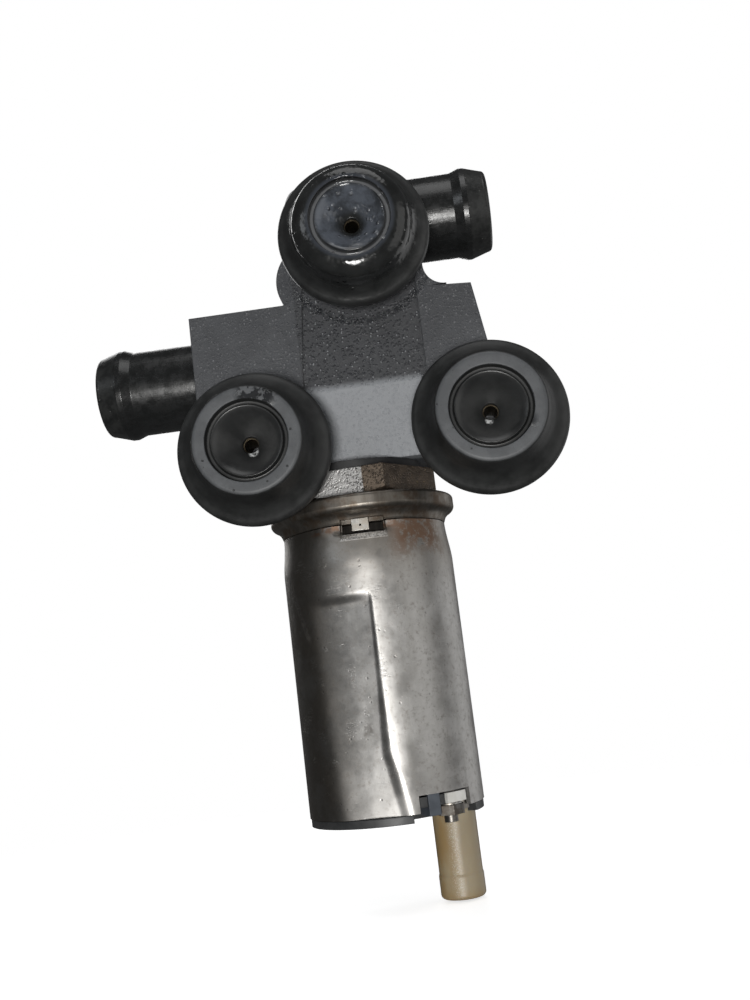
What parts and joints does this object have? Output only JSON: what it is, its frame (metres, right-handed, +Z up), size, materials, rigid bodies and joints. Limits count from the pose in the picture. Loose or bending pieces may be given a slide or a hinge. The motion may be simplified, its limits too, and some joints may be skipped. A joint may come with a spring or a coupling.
{
  "type": "solenoid diverter valve",
  "caption": "Solenoid coolant diverter valve: round steel coil can, black moulded body with hose barbs on different sides, rubber mounting buffers and a pale connector sleeve.",
  "frame": {"origin": "on the axis of the round solenoid can, in the middle of its clamp band, 55 mm above the can's lower rim", "axes": "+Z up the can's axis towards the valve body, -Y is the front that the rubber buffers face, +X to the right seen from the front"},
  "size_m": [0.1091, 0.0737, 0.172],
  "materials": {
    "can_steel": "satin drawn steel, stained",
    "ring_steel": "tarnished steel",
    "gland_steel": "rough, rusting",
    "bright_steel": "plain zinc plated",
    "stainless": "ground",
    "body_nylon": "fine grained moulding",
    "barb_nylon": "smooth, damp",
    "buffer_rubber": "matt with polished faces",
    "cap_plastic": "plain",
    "natural_nylon": "translucent, yellowed",
    "white_nylon": "plain",
    "bobbin_nylon": "plain",
    "copper_wire": "enamelled",
    "brass": "turned",
    "seal_rubber": "plain"
  },
  "bodies": {
    "valve": {"solenoid_can": "can_steel", "crimp_ring": "ring_steel", "hex_gland_nut": "gland_steel", "body_gasket": "seal_rubber", "latch_tongue": "bright_steel", "coil_bobbin": "bobbin_nylon", "coil_winding": "copper_wire", "guide_tube": "stainless", "upper_flux_plate": "bright_steel", "lower_flux_plate": "bright_steel", "fixed_pole": "bright_steel", "bottom_cap": "cap_plastic", "terminal_spacer": "white_nylon", "terminal_stud": "bright_steel", "terminal_nut": "bright_steel", "terminal_tag": "bright_steel", "connector_sleeve": "natural_nylon", "contact_pin": "brass", "valve_body": "body_nylon", "peg_inserts": "brass", "left_hose_barb": "barb_nylon", "right_hose_barb": "barb_nylon", "rear_hose_barb": "barb_nylon", "lower_seat": "brass", "upper_seat": "brass", "seat_cage": "white_nylon", "seat_keeper": "white_nylon", "top_plug": "body_nylon", "top_plug_o_ring": "seal_rubber", "stem_gland": "bobbin_nylon", "gland_o_ring": "seal_rubber", "stem_seal": "seal_rubber", "return_spring": "stainless"},
    "plunger_set": {"plunger": "bright_steel", "valve_stem": "stainless", "upper_poppet": "seal_rubber", "lower_poppet": "seal_rubber", "poppet_clips": "stainless"},
    "top_buffer": {"top_buffer": "buffer_rubber"},
    "left_buffer": {"left_buffer": "buffer_rubber"},
    "right_buffer": {"right_buffer": "buffer_rubber"}
  },
  "joints": [
    {"name": "plunger_travel", "type": "slide", "parent": "valve", "child": "plunger_set", "axis": [0, 0, -1], "range_m": [0, 0.003], "stiffness_N_per_m": 400, "springref_m": -0.008, "deforming": ["return_spring"]},
    {"name": "top_buffer_pull", "type": "slide", "parent": "valve", "child": "top_buffer", "axis": [0, -1, 0], "range_m": [0, 0.02]},
    {"name": "left_buffer_pull", "type": "slide", "parent": "valve", "child": "left_buffer", "axis": [0, -1, 0], "range_m": [0, 0.02]},
    {"name": "right_buffer_pull", "type": "slide", "parent": "valve", "child": "right_buffer", "axis": [0, -1, 0], "range_m": [0, 0.02]}
  ]
}
